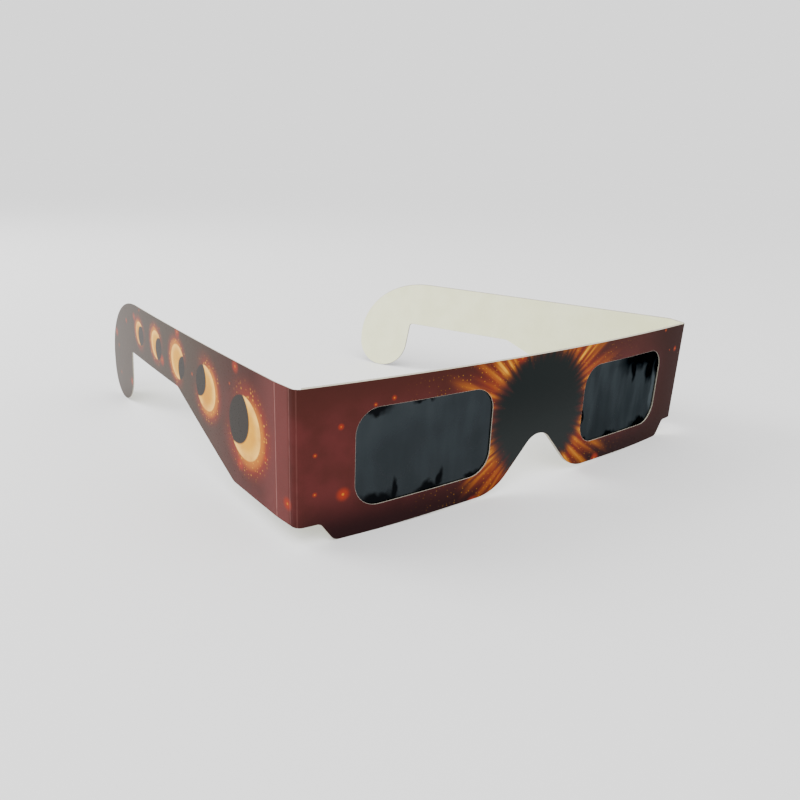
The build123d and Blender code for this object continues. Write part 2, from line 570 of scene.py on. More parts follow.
def mix(tree, share, first, second):
    """The first colour, with a share of the second laid over it."""
    node = put(tree, "ShaderNodeMix", data_type="RGBA")
    feed(tree, node.inputs["Factor"], share)
    feed(tree, node.inputs[6], first)
    feed(tree, node.inputs[7], second)
    return node.outputs[2]


def noise(tree, place, scale, detail=2, stretch=(1, 1, 1)):
    """Cloudy noise around 0.5, with scale clouds to one unit of the place."""
    mapping = put(tree, "ShaderNodeMapping")
    feed(tree, mapping.inputs["Vector"], place)
    mapping.inputs["Scale"].default_value = stretch
    node = put(tree, "ShaderNodeTexNoise")
    tree.links.new(mapping.outputs[0], node.inputs["Vector"])
    node.inputs["Scale"].default_value = scale
    node.inputs["Detail"].default_value = detail
    return node.outputs["Fac"]


print("made the helpers fade, fall, mix and noise")

# %% [markdown]
# An effect that shows up in more than one place is made once, as a node group with named
# sockets. Copying its nodes into each material would work too, but then a change has to be
# made in each copy.

# %% Helpers for node groups
NUMBER, POINT = "NodeSocketFloat", "NodeSocketVector"


def new_group(name, inputs, outputs):
    """A node group with named sockets, and its two end nodes."""
    group = bpy.data.node_groups.new(name, "ShaderNodeTree")
    for socket, kind in inputs:
        group.interface.new_socket(socket, in_out="INPUT", socket_type=kind)
    for socket, kind in outputs:
        group.interface.new_socket(socket, in_out="OUTPUT", socket_type=kind)
    return group, put(group, "NodeGroupInput"), put(group, "NodeGroupOutput")


def use_group(tree, group, **values):
    """Place a group in a tree, fed by name, and give its outputs."""
    node = put(tree, "ShaderNodeGroup", node_tree=group)
    feed_named(tree, node, **values)
    return node.outputs


print("made the helpers new_group and use_group")

# %% [markdown]
# Every sheet needs its place on the blank in millimetres, so that is the first group. It
# reads the map that was made while the sheet was flat. Object coordinates would do for one
# flat sheet, but they know nothing of the folds.

# %% Group for the place on the blank
blank_place, ends_in, ends_out = new_group(
    "blank place", [("Map", POINT)], [("Place", POINT), ("Run", NUMBER), ("Height", NUMBER),
                                      ("Distance", NUMBER)])
centred = put(blank_place, "ShaderNodeVectorMath", operation="SUBTRACT")
feed(blank_place, centred.inputs[0], ends_in.outputs["Map"])
centred.inputs[1].default_value = (0.5, 0.5, 0)   # the middle of the map
scaled = put(blank_place, "ShaderNodeVectorMath", operation="SCALE")
feed(blank_place, scaled.inputs[0], centred.outputs[0])
scaled.inputs["Scale"].default_value = blank_span / MM
parts = put(blank_place, "ShaderNodeSeparateXYZ")
feed(blank_place, parts.inputs[0], scaled.outputs[0])
feed_named(blank_place, ends_out, Place=scaled.outputs[0], Run=parts.outputs[0],
           Height=parts.outputs[1], Distance=calc(blank_place, "ABSOLUTE", parts.outputs[0]))
print("the group for the place on the blank has", len(blank_place.nodes), "nodes")

# %% [markdown]
# Board is pressed from fibres, which lie mostly along the sheet, and it is slightly
# mottled. Both show in the gloss of the print as well as on the bare inside, so they are a
# group too. Two noises make the fibres, one of them stretched along the blank.

# %% Group for the board's surface
board_surface, ends_in, ends_out = new_group(
    "board surface", [("Place", POINT)], [("Fibre", NUMBER), ("Mottle", NUMBER)])
where = ends_in.outputs["Place"]
long_fibre = noise(board_surface, where, scale=3.0, detail=4, stretch=(0.35, 1, 1))
fine_fibre = noise(board_surface, where, scale=11.0, detail=3)
fibre = plus(board_surface, times(board_surface, long_fibre, 0.6),
             times(board_surface, fine_fibre, 0.4))
feed_named(board_surface, ends_out, Fibre=fibre,
           Mottle=noise(board_surface, where, scale=0.12, detail=3))
print("the group for the board's surface has", len(board_surface.nodes), "nodes")

# %% [markdown]
# A phase is a bright disc with a dark bite, and a glow that reaches past its edge. It could
# be cut from flat shapes, but print has no edges that stand up. Two distances do it: one
# from the middle of the disc, one from the middle of the bite. It is the same picture five
# times, so it is a group, with its centre, radius and bite as inputs.

# %% Group for one eclipse phase
disc_edge, bite_edge, halo_edge = (0.97, 1.03), (0.90, 0.98), (1.0, 2.0)   # in radii
bite_rise = 0.45   # the bite rises by this share of its way aside


def distance_from(tree, across, up):
    """How far a place is from a centre, from its way across and its way up."""
    return calc(tree, "SQRT", plus(tree, times(tree, across, across), times(tree, up, up)))


phase, ends_in, ends_out = new_group(
    "eclipse phase",
    [("Distance", NUMBER), ("Height", NUMBER), ("Centre", NUMBER), ("Level", NUMBER),
     ("Radius", NUMBER), ("Bite", NUMBER)],
    [("Disc", NUMBER), ("Glow", NUMBER), ("Shadow", NUMBER), ("Reach", NUMBER)])
sockets = ends_in.outputs
aside = minus(phase, sockets["Distance"], sockets["Centre"])
above = minus(phase, sockets["Height"], sockets["Level"])
reach = calc(phase, "DIVIDE", distance_from(phase, aside, above), sockets["Radius"])
bite_aside = minus(phase, aside, times(phase, sockets["Bite"], sockets["Radius"]))
bite_above = minus(phase, above, times(phase, sockets["Bite"], bite_rise, sockets["Radius"]))
bite_reach = calc(phase, "DIVIDE", distance_from(phase, bite_aside, bite_above), sockets["Radius"])
whole = fall(phase, reach, *disc_edge)
shadow = fall(phase, bite_reach, *bite_edge)
halo = fall(phase, reach, *halo_edge)
lit_side = fade(phase, minus(phase, bite_reach, reach), -0.9, 0.9)
feed_named(phase, ends_out, Disc=times(phase, whole, minus(phase, 1, shadow)), Reach=reach,
           Shadow=times(phase, whole, shadow), Glow=times(phase, halo, halo, lit_side))
print("the group for an eclipse phase has", len(phase.nodes), "nodes")

# %% [markdown]
# The glowing dots are cells of a Voronoi texture. Scattering small meshes would give
# hundreds of pieces to carry, for something that is only ink. Only a share of the cells is
# lit, and a lit cell has a small bright heart inside a wider red glow.

# %% Group for glowing dots
dot_scatter = 0.9           # 0 would set the dots on a grid
dot_sizes = (0.55, 1.3)     # the smallest and the largest, as shares of the usual size
glow_dots, ends_in, ends_out = new_group(
    "glowing dots",
    [("Place", POINT), ("Spacing", NUMBER), ("Share", NUMBER), ("Heart", NUMBER),
     ("Halo", NUMBER)],
    [("Heart", NUMBER), ("Halo", NUMBER)])
sockets = ends_in.outputs
cells = put(glow_dots, "ShaderNodeTexVoronoi", voronoi_dimensions="2D")
feed_named(glow_dots, cells, Vector=sockets["Place"], Randomness=dot_scatter,
           Scale=calc(glow_dots, "DIVIDE", 1, sockets["Spacing"]))
chance = put(glow_dots, "ShaderNodeSeparateColor")
feed(glow_dots, chance.inputs[0], cells.outputs["Color"])
lit = calc(glow_dots, "LESS_THAN", chance.outputs[0], sockets["Share"])
size = fade(glow_dots, chance.outputs[1], 0, 1, *dot_sizes)
from_heart = calc(glow_dots, "DIVIDE",
                  times(glow_dots, cells.outputs["Distance"], sockets["Spacing"]), size)
for name in ("Heart", "Halo"):
    spread = calc(glow_dots, "DIVIDE", from_heart, sockets[name])
    feed(glow_dots, ends_out.inputs[name], times(glow_dots, fall(glow_dots, spread, 0.25, 1), lit))
print("the group for glowing dots has", len(glow_dots.nodes), "nodes")

# %% [markdown]
# The groove of a score is in the mesh. Ink cracks along it too, so a pale broken line
# shows, and the same line is a painted highlight of the bend. A painted line would look
# ruled. Here noise that is stretched up the score breaks the line. Scores lie at the same
# distances from the nose on both sides, so one line serves both.

# %% Group for a cracked score line with a painted highlight
score_line, ends_in, ends_out = new_group(
    "score line", [("Distance", NUMBER), ("Place", POINT), ("At", NUMBER), ("Width", NUMBER)],
    [("Crack", NUMBER)])
sockets = ends_in.outputs
off = calc(score_line, "ABSOLUTE", minus(score_line, sockets["Distance"], sockets["At"]))
near = fall(score_line, calc(score_line, "DIVIDE", off, sockets["Width"]), 0.35, 1)
breaks = noise(score_line, sockets["Place"], scale=1.1, detail=3, stretch=(2, 0.3, 1))
broken = fade(score_line, breaks, 0.25, 0.55, first=0.35)
feed(score_line, ends_out.inputs["Crack"], times(score_line, near, broken))
print("the group for a score line has", len(score_line.nodes), "nodes")

# %% [markdown]
# A printer settles the inks and the layout before the first pass, and so does this cell.
# It names the inks, and the places on the blank where one gives way to another. Numbers
# inside the node trees would do the same, but nobody could read the design from them.

# %% Inks and the layout of the print
maroon = ink(73, 33, 32)
top_maroon = ink(54, 26, 22)
# painted shade for the wearer's left end of the front
painted_shade_brown = ink(34, 14, 11)
# a painted sheen for the strip behind each fold
painted_sheen_maroon = ink(98, 54, 52)
lobe_brown = ink(30, 14, 15)
# dark temple print, lightened and greyed as a painted sheen of the temples' gloss
night_ink_and_sheen = ink(58, 49, 41)
phase_shadow = ink(42, 38, 35)
bridge_black = ink(20, 24, 24)
bridge_grey = ink(31, 34, 34)
ember = ink(134, 42, 22)
amber = ink(168, 102, 22)
gold = ink(200, 142, 28)
pale_gold = ink(230, 178, 82)
cracked_ink_and_highlight = ink(142, 98, 92)
bare_paper = ink(190, 184, 172)

# Places in millimetres. Heights are above the top of the nose notch, distances from the nose.
top_dark = (12, 24)             # heights where the ground darkens towards the top
lobe_dark = (-14, -1)           # heights where the brown of the lobes fades out
front_ends = (66, 84)           # distances where that brown ends
left_end_painted_shade = (40, 66)        # runs where the wearer's left end gets a painted shade
sheen_begins = (76.2, 77.4)       # distances where the painted sheen behind a fold begins
sheen_ends = (82, 94)             # distances where it ends
sheen_sides = (-40, 40)           # runs where it gets fainter towards the wearer's left
temple_night = (84, 140)        # distances where a temple darkens into night ink, partly a painted sheen
ray_centre_height = 6.0
ray_start, ray_soft = 16.5, 5   # where the rays begin, and how softly
ray_least, ray_more = 26.0, 22  # the shortest reach of a ray, and how much longer it can be
middle_edge, middle_jag = (18.0, 24.5), 6   # edge of the dark middle, and how ragged it is
middle_blacker = (-6, 16)       # heights where the dark middle goes from grey to black
ember_edge = (24, 52)           # distances from the rays' centre where the embers thin out
phases = [                      # centre along the blank, level, radius, bite
    (97.5, 7.2, 8.4, 0.62), (120.5, 11.2, 6.4, 0.85), (140.5, 13.6, 5.2, -0.95),
    (159, 14.4, 4.6, -0.70), (176, 14.4, 4.0, -0.50)]
print(len(phases), "eclipse phases on each temple")

# %% [markdown]
# The ground of the print is a mottled maroon. It darkens towards the top, in the lobes and
# along the temples, where its night ink is also partly a painted sheen. A painted shade
# darkens it at the wearer's left end, and a painted sheen makes it paler just behind the
# folds. One large ramp couldn't run in all of these directions.
# So each is a Mix over the last, like one printing pass over another.

# %% The maroon ground


def new_material(name):
    """A material with nodes, its tree and its shader."""
    material = bpy.data.materials.new(name)
    material.use_nodes = True
    tree = material.node_tree
    return material, tree, tree.nodes["Principled BSDF"]


def blank_sockets(tree):
    """Place, run, height and distance on the blank, in millimetres."""
    uv = put(tree, "ShaderNodeUVMap", uv_map="blank")
    return use_group(tree, blank_place, Map=uv.outputs[0])


printed_card, tree, shader = new_material("printed_card_surface")
place = blank_sockets(tree)
surface = use_group(tree, board_surface, Place=place["Place"])
colour = mix(tree, fade(tree, surface["Mottle"], 0.35, 0.7, last=0.55), maroon, top_maroon)
colour = mix(tree, fade(tree, place["Height"], *top_dark, last=0.9), colour, top_maroon)
low_down = times(tree, fall(tree, place["Height"], *lobe_dark),
                 fall(tree, place["Distance"], *front_ends))
colour = mix(tree, low_down, colour, lobe_brown)
# Painted shade: the wearer's left end of the front is darkened, where its gloss mirrors little
# light.
colour = mix(tree, fade(tree, place["Run"], *left_end_painted_shade, last=0.9), colour, painted_shade_brown)
# Painted sheen: the strip behind each fold is made paler, where it catches the light.
painted_sheen = times(tree, fade(tree, place["Distance"], *sheen_begins),
               fall(tree, place["Distance"], *sheen_ends),
               fade(tree, place["Run"], *sheen_sides, first=0.55, last=0.2))
colour = mix(tree, painted_sheen, colour, painted_sheen_maroon)
# Partly painted sheen: the night ink is lighter and greyer than a bare dark print.
colour = mix(tree, fade(tree, place["Distance"], *temple_night, last=0.94), colour, night_ink_and_sheen)
print("the ground takes", len(tree.nodes), "nodes")

# %% [markdown]
# The rays are straight wedges around a point above the nose. Drawn one by one, they would
# be dozens of shapes. Noise on the angle round that point gives all of them at once, at
# three scales, and each wedge gets its own length and warmth from the same noise.

# %% Straight amber rays
ray_drift = 0.003   # how much the noise changes in each millimetre along a ray
height_from_centre = minus(tree, place["Height"], ray_centre_height)
from_centre = distance_from(tree, place["Run"], height_from_centre)
around = put(tree, "ShaderNodeCombineXYZ")
feed_named(tree, around, X=calc(tree, "ARCTAN2", height_from_centre, place["Run"]),
           Y=times(tree, from_centre, ray_drift))
broad_rays = noise(tree, around.outputs[0], scale=5.0, detail=0)
middle_rays = noise(tree, around.outputs[0], scale=14.0, detail=0)
fine_rays = noise(tree, around.outputs[0], scale=38.0, detail=1)
rays = plus(tree, times(tree, fade(tree, middle_rays, 0.36, 0.68), 0.8),
            times(tree, fade(tree, fine_rays, 0.42, 0.68), 0.35))
rays = times(tree, rays, fade(tree, broad_rays, 0.36, 0.56, first=0.3))
ray_reach = plus(tree, ray_least, times(tree, middle_rays, ray_more))
ray_light = times(tree, fall(tree, calc(tree, "DIVIDE", from_centre, ray_reach), 0.42, 1.0),
                  fade(tree, from_centre, ray_start, ray_start + ray_soft))
ray_mask = calc(tree, "MULTIPLY", rays, ray_light, clamp=True)
colour = mix(tree, times(tree, ray_light, 0.5), colour, ember)
warmth = fade(tree, times(tree, ray_mask, broad_rays), 0.15, 0.55, last=0.8)
colour = mix(tree, ray_mask, colour, mix(tree, warmth, amber, gold))
print("with the rays it takes", len(tree.nodes), "nodes")

# %% [markdown]
# Over the nose the rays come out of a dark middle. A plain dark disc would look stuck on.
# The noise of the rays is added to its radius, so its edge is ragged and each ray seems to
# start where it likes.

# %% The dark middle
jagged = plus(tree, from_centre, times(tree, middle_rays, middle_jag))
dark_middle = fall(tree, jagged, *middle_edge)
middle_colour = mix(tree, fade(tree, place["Height"], *middle_blacker), bridge_grey, bridge_black)
colour = mix(tree, dark_middle, colour, middle_colour)
not_dark = minus(tree, 1, dark_middle)
print("the dark middle ends", middle_edge[1], "mm from its centre at most")

# %% [markdown]
# The card around the windows has glowing dots: some large and soft, some small, and fine
# embers near the rays. Three textures could be mixed by hand. The one group for glowing
# dots does all three, each at its own spacing, and the dark middle is kept clear of them.

# %% Soft sparks and fine embers
sparks = [   # spacing in millimetres, share lit, radius of heart and halo, strength
    (13, 0.40, 0.42, 2.1, 0.75), (5.0, 0.10, 0.26, 0.9, 0.6)]
for spacing, share, heart, halo, strength in sparks:
    dots = use_group(tree, glow_dots, Place=place["Place"], Spacing=spacing, Share=share,
                     Heart=heart, Halo=halo)
    soft = times(tree, calc(tree, "POWER", dots["Halo"], 1.6), strength)
    colour = mix(tree, times(tree, soft, not_dark), colour, ember)
    colour = mix(tree, times(tree, dots["Heart"], 0.8, not_dark), colour, amber)
embers = use_group(tree, glow_dots, Place=place["Place"], Spacing=1.25, Share=0.5,
                   Heart=0.16, Halo=0.34)
near_rays = times(tree, fall(tree, from_centre, *ember_edge), not_dark)
colour = mix(tree, times(tree, embers["Heart"], near_rays, 0.5), colour, gold)
print(len(sparks), "sizes of spark, and embers")

# %% [markdown]
# Along each temple the phases get smaller towards the ear. Each could be a decal of its
# own, but the group for a phase works in distance from the nose, so placing it once prints
# it on both temples. Glow, embers, shadow and disc go on in that order, so the disc stays
# clean.

# %% The eclipse phases on the temples
for centre, level, radius, bite in phases:
    picture = use_group(tree, phase, Distance=place["Distance"], Height=place["Height"],
                        Centre=centre, Level=level, Radius=radius, Bite=bite)
    glow = picture["Glow"]
    colour = mix(tree, times(tree, glow, 0.85), colour, ember)
    colour = mix(tree, times(tree, fade(tree, glow, 0.45, 1), 0.8), colour, amber)
    spray = times(tree, embers["Halo"], fade(tree, glow, 0.02, 0.5))
    colour = mix(tree, times(tree, spray, 0.7), colour, gold)
    colour = mix(tree, picture["Shadow"], colour, phase_shadow)
    disc_colour = mix(tree, fade(tree, picture["Reach"], 0.55, 1.0), gold, pale_gold)
    disc_colour = mix(tree, fade(tree, surface["Mottle"], 0.4, 0.7, last=0.6), disc_colour, amber)
    colour = mix(tree, picture["Disc"], colour, disc_colour)
print("with the phases it takes", len(tree.nodes), "nodes")

# %% [markdown]
# Ink cracks where card is folded and wears off along a cut edge, so pale board shows there.
# The pale lines at the scores are also a painted highlight, where each bend catches the light.
# Edge wear is often found from how sharply a mesh turns, but that can't tell a cut edge
# from a fold. Here the cracks and painted highlights follow the known scores, and the wear
# follows the attribute that marks the border, with noise to make it ragged.

# %% Cracked ink and painted highlights at the scores, and worn ink at the cut edges
crack_widths = (0.26, 0.26, 0.24)       # millimetres, in the order of score_runs
crack_and_highlight_strengths = (0.10, 0.24, 0.52)
for run, width, strength in zip(score_runs, crack_widths, crack_and_highlight_strengths):
    line = use_group(tree, score_line, Distance=place["Distance"], Place=place["Place"],
                     At=run / MM, Width=width)
    # Pale line along each score: cracked ink, and a painted highlight of the bend.
    colour = mix(tree, times(tree, line["Crack"], strength), colour, cracked_ink_and_highlight)
edge = put(tree, "ShaderNodeAttribute", attribute_name="cut_edge").outputs["Fac"]
ragged = noise(tree, place["Place"], scale=4.0, detail=3)
worn = fade(tree, plus(tree, edge, times(tree, ragged, 0.6)), 0.75, 1.15)
colour = mix(tree, times(tree, worn, 0.62), colour, bare_paper)
feed_named(tree, shader, Base_Color=colour)
print("ink cracks along", len(score_runs), "scores on each side")

# %% [markdown]
# Over the ink lies a thin satin varnish. A clear coat could stand for it, but real varnish
# on cheap card hardly has a depth of its own. A weak specular with uneven roughness looks
# more like it. It is duller on the front and polished by hands along the temples, and the
# fibres of the board show through as fine relief.

# %% Satin varnish on the print
polished = (62, 100)   # distances in millimetres over which hands have polished it


def add_relief(tree, shader, height, strength, depth):
    """Let a height over the surface tilt the shader's normal, as fine relief does."""
    bump = put(tree, "ShaderNodeBump")
    feed_named(tree, bump, Strength=strength, Distance=depth, Height=height)
    feed(tree, shader.inputs["Normal"], bump.outputs[0])


varnish = plus(tree, fade(tree, place["Distance"], *polished, first=0.56, last=0.30),
               fade(tree, surface["Fibre"], 0.3, 0.7, first=-0.04, last=0.05))
feed_named(tree, shader, Roughness=varnish, Specular_IOR_Level=0.035)
add_relief(tree, shader, surface["Fibre"], strength=0.5, depth=0.008 * MM)
print("printed card material has", len(tree.nodes), "nodes")

# %% [markdown]
# The inside is bare board: slightly warm, matt, with faint mottling and fibres. One flat
# colour would look like plastic. The films are shut in between two cards, so their pocket
# stands out faintly on the inside. It is only about as high as a film is thick, too little
# to be worth a mesh, so it is left to bump.

# %% Bare board
board_dark, board_light, fibre_dark = ink(221, 222, 184), ink(228, 229, 194), ink(207, 207, 168)
film_middle, film_half = (39.05, 4.09), (23.4, 15.5)   # the film pocket, millimetres on the blank
pocket_relief = 4.5   # height of the pocket, where the fibres' own height is up to 1
bare_board, tree, shader = new_material("bare_board")
place = blank_sockets(tree)
surface = use_group(tree, board_surface, Place=place["Place"])
colour = mix(tree, fade(tree, surface["Mottle"], 0.3, 0.7), board_dark, board_light)
colour = mix(tree, fade(tree, surface["Fibre"], 0.45, 0.75, last=0.35), colour, fibre_dark)
matt = fade(tree, surface["Fibre"], 0.3, 0.7, first=0.62, last=0.78)
feed_named(tree, shader, Base_Color=colour, Roughness=matt, Specular_IOR_Level=0.3)
aside = calc(tree, "ABSOLUTE", minus(tree, place["Distance"], film_middle[0]))
above = calc(tree, "ABSOLUTE", minus(tree, place["Height"], film_middle[1]))
past_film = calc(tree, "MAXIMUM", minus(tree, aside, film_half[0]), minus(tree, above, film_half[1]))
pocket = fade(tree, past_film, -0.4, 0.3, first=pocket_relief, last=0)
add_relief(tree, shader, plus(tree, surface["Fibre"], pocket), strength=0.4, depth=0.03 * MM)
print("bare board material has", len(tree.nodes), "nodes")

# %% [markdown]
# The cut edge shows the board's core, a little greyer because the die burnishes it.
# Solidify makes the rim after the map, so the blank's map is squeezed to a line there. But
# the edge's fuzz has no direction, so Object coordinates will do.

# %% Cut edge
core_dark, core_light = ink(128, 123, 110), ink(176, 171, 156)
cut_edge, tree, shader = new_material("cut_edge")
where = put(tree, "ShaderNodeTexCoord").outputs["Object"]
fuzz = noise(tree, where, scale=2600, detail=3)   # clouds to the metre here
colour = mix(tree, fade(tree, fuzz, 0.3, 0.7), core_dark, core_light)
feed_named(tree, shader, Base_Color=colour, Roughness=0.8, Specular_IOR_Level=0.2)
add_relief(tree, shader, fuzz, strength=0.5, depth=0.03 * MM)
print("cut edge material has", len(tree.nodes), "nodes")

# %% [markdown]
# With the materials ready, the sheets can be made. On the real glasses the outer card of
# the front has the nose notch, both windows and the stepped lobes cut through it. Drawing
# that outline again would only invite small errors, so the sheet is taken from the solid.
# It ends where the soft bends begin.

# %% Front sheet


def face_with(piece, outside, inside, edge):
    """Give a sheet the materials of its outside, its inside and its cut edge."""
    piece.data.materials.clear()
    for material in (outside, inside, edge):
        piece.data.materials.append(material)
    for face in piece.data.polygons:
        face.material_index = 0


def finish_card(piece, body, *nodes):
    """Finish a folded sheet of printed card, and say what it rides on and replaces."""
    face_with(piece, printed_card, bare_board, cut_edge)
    thicken(piece, card_thickness)
    if body:
        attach(piece, body)
    if nodes:
        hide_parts(*nodes)
    print(piece.name, len(piece.data.polygons), "faces")


front_sheet = copy_of_node("front_card", "front_sheet")
keep_face(front_sheet, Vector((0, -1, 0)))
for vertex in front_sheet.data.vertices:
    vertex.co = flat_front(vertex.co, bow_radius + card_thickness / 2)
border_outline(front_sheet)
front_end = outer_fold_run - outer_bend_reach
cut_into_columns(front_sheet, -front_end, front_end, front_column)
map_print(front_sheet)
fold_sheet(front_sheet, card_thickness / 2)
finish_card(front_sheet, "front_panel", "front_card")

# %% [markdown]
# A temple starts where its inner bend ends, and has an ear hook cut in its lower edge. It
# is made as the front is, from its own solid. On the blank the two are mirror images, but
# each stands at its own angle with its own curl, so a loop makes both, and neither is a
# mirrored copy of the other.

# %% Temples
temple_stretch = 200 * MM   # longer than a temple, so nothing of its far end is trimmed
for side, sign in signs.items():
    temple = copy_of_node(f"{side}_temple", f"{side}_temple_sheet")
    heading = routes[side]["temple_heading"]
    keep_face(temple, Vector((sign * math.sin(heading), -math.cos(heading), 0)))
    for vertex in temple.data.vertices:
        vertex.co = flat_temple(side, vertex.co)
    border_outline(temple)
    start = routes[side]["inner_fold_run"] + inner_bend_reach
    ends = sorted((sign * start, sign * (start + temple_stretch)))
    cut_into_columns(temple, *ends, temple_column)
    map_print(temple)
    fold_sheet(temple, card_thickness / 2)
    finish_card(temple, f"{side}_arm", f"{side}_temple")

# %% [markdown]
# The strips between the folds, and the bends themselves, are plain rectangles on the
# blank. The solids have beads and set-back edges there, so copies of them wouldn't look
# like bent card. Each starts as a grid of its own size, laid on its stretch of the flat
# blank, with a border cut along its top and its bottom.

# %% A rectangle of the flat blank
rectangle_rows = 6
on_edge = edge_border / 10   # a point nearer to the cut edge than this lies on it


def flat_grid(name, left, right, bottom, top, columns, rows):
    """An upright grid on the flat blank, between two runs and two heights."""
    bpy.ops.object.select_all(action="DESELECT")
    bpy.ops.mesh.primitive_grid_add(
        x_subdivisions=columns, y_subdivisions=rows, size=1,
        location=((left + right) / 2, 0, (bottom + top) / 2), rotation=(math.pi / 2, 0, 0))
    piece = bpy.context.object
    piece.name = piece.data.name = name
    piece.scale = (right - left, top - bottom, 1)
    bpy.ops.object.transform_apply(location=True, rotation=True, scale=True)
    return piece


def blank_rectangle(name, low, high, columns):
    """A folded sheet between two runs, as high as the folds."""
    piece = flat_grid(name, low, high, strip_bottom, panel_top, columns, rectangle_rows)
    bpy.ops.object.mode_set(mode="EDIT")
    for height in (panel_top - edge_border, strip_bottom + edge_border):
        bpy.ops.mesh.select_all(action="SELECT")
        bpy.ops.mesh.bisect(plane_co=(0, 0, height), plane_no=(0, 0, 1))
    bpy.ops.object.mode_set(mode="OBJECT")
    mark_cut_edge(piece, lambda index, place: min(panel_top - place.z, place.z - strip_bottom)
                  < on_edge)
    map_print(piece)
    fold_sheet(piece, card_thickness / 2)
    return piece


print("strips and bends are", round((panel_top - strip_bottom) / MM, 2), "mm high")

# %% [markdown]
# A strip rides on its own body. A bend lies across a hinge, and on one body alone it would
# tear away from the other. So a bend is put on no body here, and its transform is applied.

# %% Strips and soft bends
for side, sign in signs.items():
    inner_run = routes[side]["inner_fold_run"]
    stretches = {   # from one run to another, and how many columns
        "outer_bend": (outer_fold_run - outer_bend_reach, outer_fold_run + outer_bend_reach, 48),
        "strip": (outer_fold_run + outer_bend_reach, inner_run - inner_bend_reach, 44),
        "inner_bend": (inner_run - inner_bend_reach, inner_run + inner_bend_reach, 16),
    }
    for name, (start, end, columns) in stretches.items():
        piece = blank_rectangle(f"{side}_{name}_card", *sorted((sign * start, sign * end)), columns)
        if name == "strip":
            finish_card(piece, f"{side}_strip", f"{side}_hinge_strip")
            continue
        finish_card(piece, None)
        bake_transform(piece)

# %% [markdown]
# Behind the windows are the solar films, glued only around their rims. They pucker there,
# and a pucker shows as a dark reflection against the mirror of the open film. Creases could
# be modelled, but the film hardly leaves its plane there. So each dark reflection is painted
# as a soft oval with its own place and size, listed one by one.

# %% Where the film's puckers show as painted dark reflections, in millimetres on the blank
pucker_reflections = [   # centre along the blank, height, half width, half height
    (-55.0, 16.2, 5.4, 1.9), (-40.8, 16.6, 3.4, 1.2), (-53.2, -8.2, 5.8, 3.3),
    (-48.8, -6.2, 0.9, 3.2), (-38.2, -8.2, 4.6, 2.3), (-34.9, -5.6, 0.9, 3.4),
    (-23.8, -7.4, 3.0, 1.5), (49.5, 16.2, 14.0, 6.2), (44.3, 12.0, 1.8, 3.6),
    (54.6, 10.5, 3.2, 5.0), (59.3, 12.5, 2.4, 4.2), (34.3, -7.9, 3.6, 1.3),
    (53.0, -8.4, 8.5, 2.7), (19.3, 0.4, 0.9, 2.8), (20.5, -7.2, 1.8, 1.3)]

reflection_patch, ends_in, ends_out = new_group(
    "film reflection patch", [("Place", POINT), ("Centre", NUMBER), ("Level", NUMBER), ("Half width", NUMBER),
                    ("Half height", NUMBER)], [("Mark", NUMBER)])
sockets = ends_in.outputs
spot = put(reflection_patch, "ShaderNodeSeparateXYZ")
feed(reflection_patch, spot.inputs[0], sockets["Place"])
across = calc(reflection_patch, "DIVIDE", minus(reflection_patch, spot.outputs[0], sockets["Centre"]),
              sockets["Half width"])
upward = calc(reflection_patch, "DIVIDE", minus(reflection_patch, spot.outputs[1], sockets["Level"]),
              sockets["Half height"])
feed(reflection_patch, ends_out.inputs["Mark"],
     fall(reflection_patch, distance_from(reflection_patch, across, upward), 0.55, 1.2))
print(len(pucker_reflections), "puckers on the films")

# %% [markdown]
# The ovals alone would look like ink blots. Slack film is never that regular, so their
# places are shoved about by noise before they are measured, and another noise, stretched
# upwards, makes them run like drips.

# %% The painted dark reflections of the film's puckers
solar_film, tree, shader = new_material("solar_film_surface")
place = blank_sockets(tree)
wander = noise(tree, place["Place"], scale=0.16, detail=1)
lift = noise(tree, place["Place"], scale=0.4, detail=1)
shove = put(tree, "ShaderNodeCombineXYZ")
feed_named(tree, shove, X=fade(tree, wander, 0.3, 0.7, first=-0.6, last=0.6),
           Y=fade(tree, lift, 0.3, 0.7, first=-0.5, last=0.5))
wavy = put(tree, "ShaderNodeVectorMath", operation="ADD")
feed(tree, wavy.inputs[0], place["Place"])
feed(tree, wavy.inputs[1], shove.outputs[0])
running = noise(tree, place["Place"], scale=0.3, detail=1, stretch=(1, 0.1, 1))
drips = fade(tree, running, 0.3, 0.7, first=0.7, last=1.35)
# painted reflection: the puckers' dark patches, gathered into one mask
dark = 0
for centre, level, half_wide, half_high in pucker_reflections:
    marked = use_group(tree, reflection_patch, Place=wavy.outputs[0], Centre=centre, Level=level,
                       Half_width=half_wide, Half_height=times(tree, drips, half_high))
    dark = calc(tree, "MAXIMUM", dark, marked["Mark"])
print("the puckers take", len(tree.nodes), "nodes")

# %% [markdown]
# The open film is a dark mirror. A perfect one would show only the studio, and look like
# glass. This film has pale upright streaks, stronger on the wearer's left, and slow clouds
# in its gloss. One paler glint, a painted highlight, stands near the outer side of the left
# window.

# %% Solar film material
film_dark, film_mirror, film_streak_and_painted_glint = ink(12, 14, 16), ink(44, 49, 52), ink(78, 86, 90)
between_windows = (-10, 10)   # runs in millimetres, from the right window to the left
streaks = noise(tree, place["Place"], scale=0.24, detail=2, stretch=(1, 0.2, 1))
clouds = noise(tree, place["Place"], scale=0.05, detail=2)
streaky = fade(tree, place["Run"], *between_windows, first=0.07, last=0.17)
colour = mix(tree, times(tree, fade(tree, streaks, 0.35, 0.7), streaky), film_mirror, film_streak_and_painted_glint)
colour = mix(tree, fade(tree, clouds, 0.42, 0.72, last=0.22), colour, film_dark)
